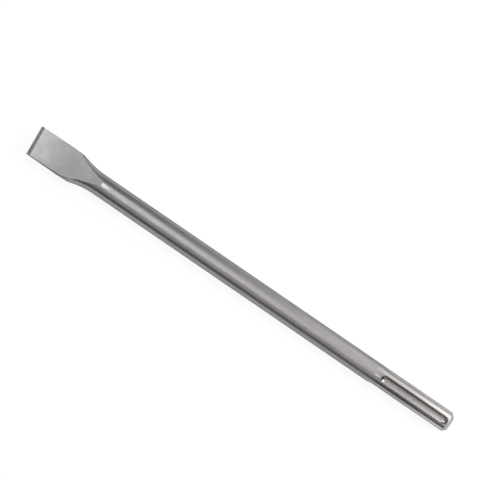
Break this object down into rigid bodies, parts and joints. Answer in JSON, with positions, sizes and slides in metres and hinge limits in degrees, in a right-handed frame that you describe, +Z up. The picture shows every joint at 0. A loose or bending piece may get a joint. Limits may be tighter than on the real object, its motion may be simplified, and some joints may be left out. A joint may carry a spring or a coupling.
{
  "type": "flat chisel",
  "caption": "Flat chisel for a rotary hammer: a round steel bar forged to a wedge blade, with locking grooves and drive slots cut into its shank.",
  "frame": {"origin": "on the surface that the bar rests on, under the middle of the chisel's bounding box", "axes": "+X along the bar to the shank end, +Y across the blade, +Z up, at right angles to the blade's middle plane"},
  "size_m": [0.4064, 0.0254, 0.018],
  "materials": {
    "forged_steel": "blasted satin grey on the blade and bar, ground and brighter on the shank and along the cutting edge"
  },
  "bodies": {
    "root": {"flat_chisel": "forged_steel"}
  },
  "joints": []
}
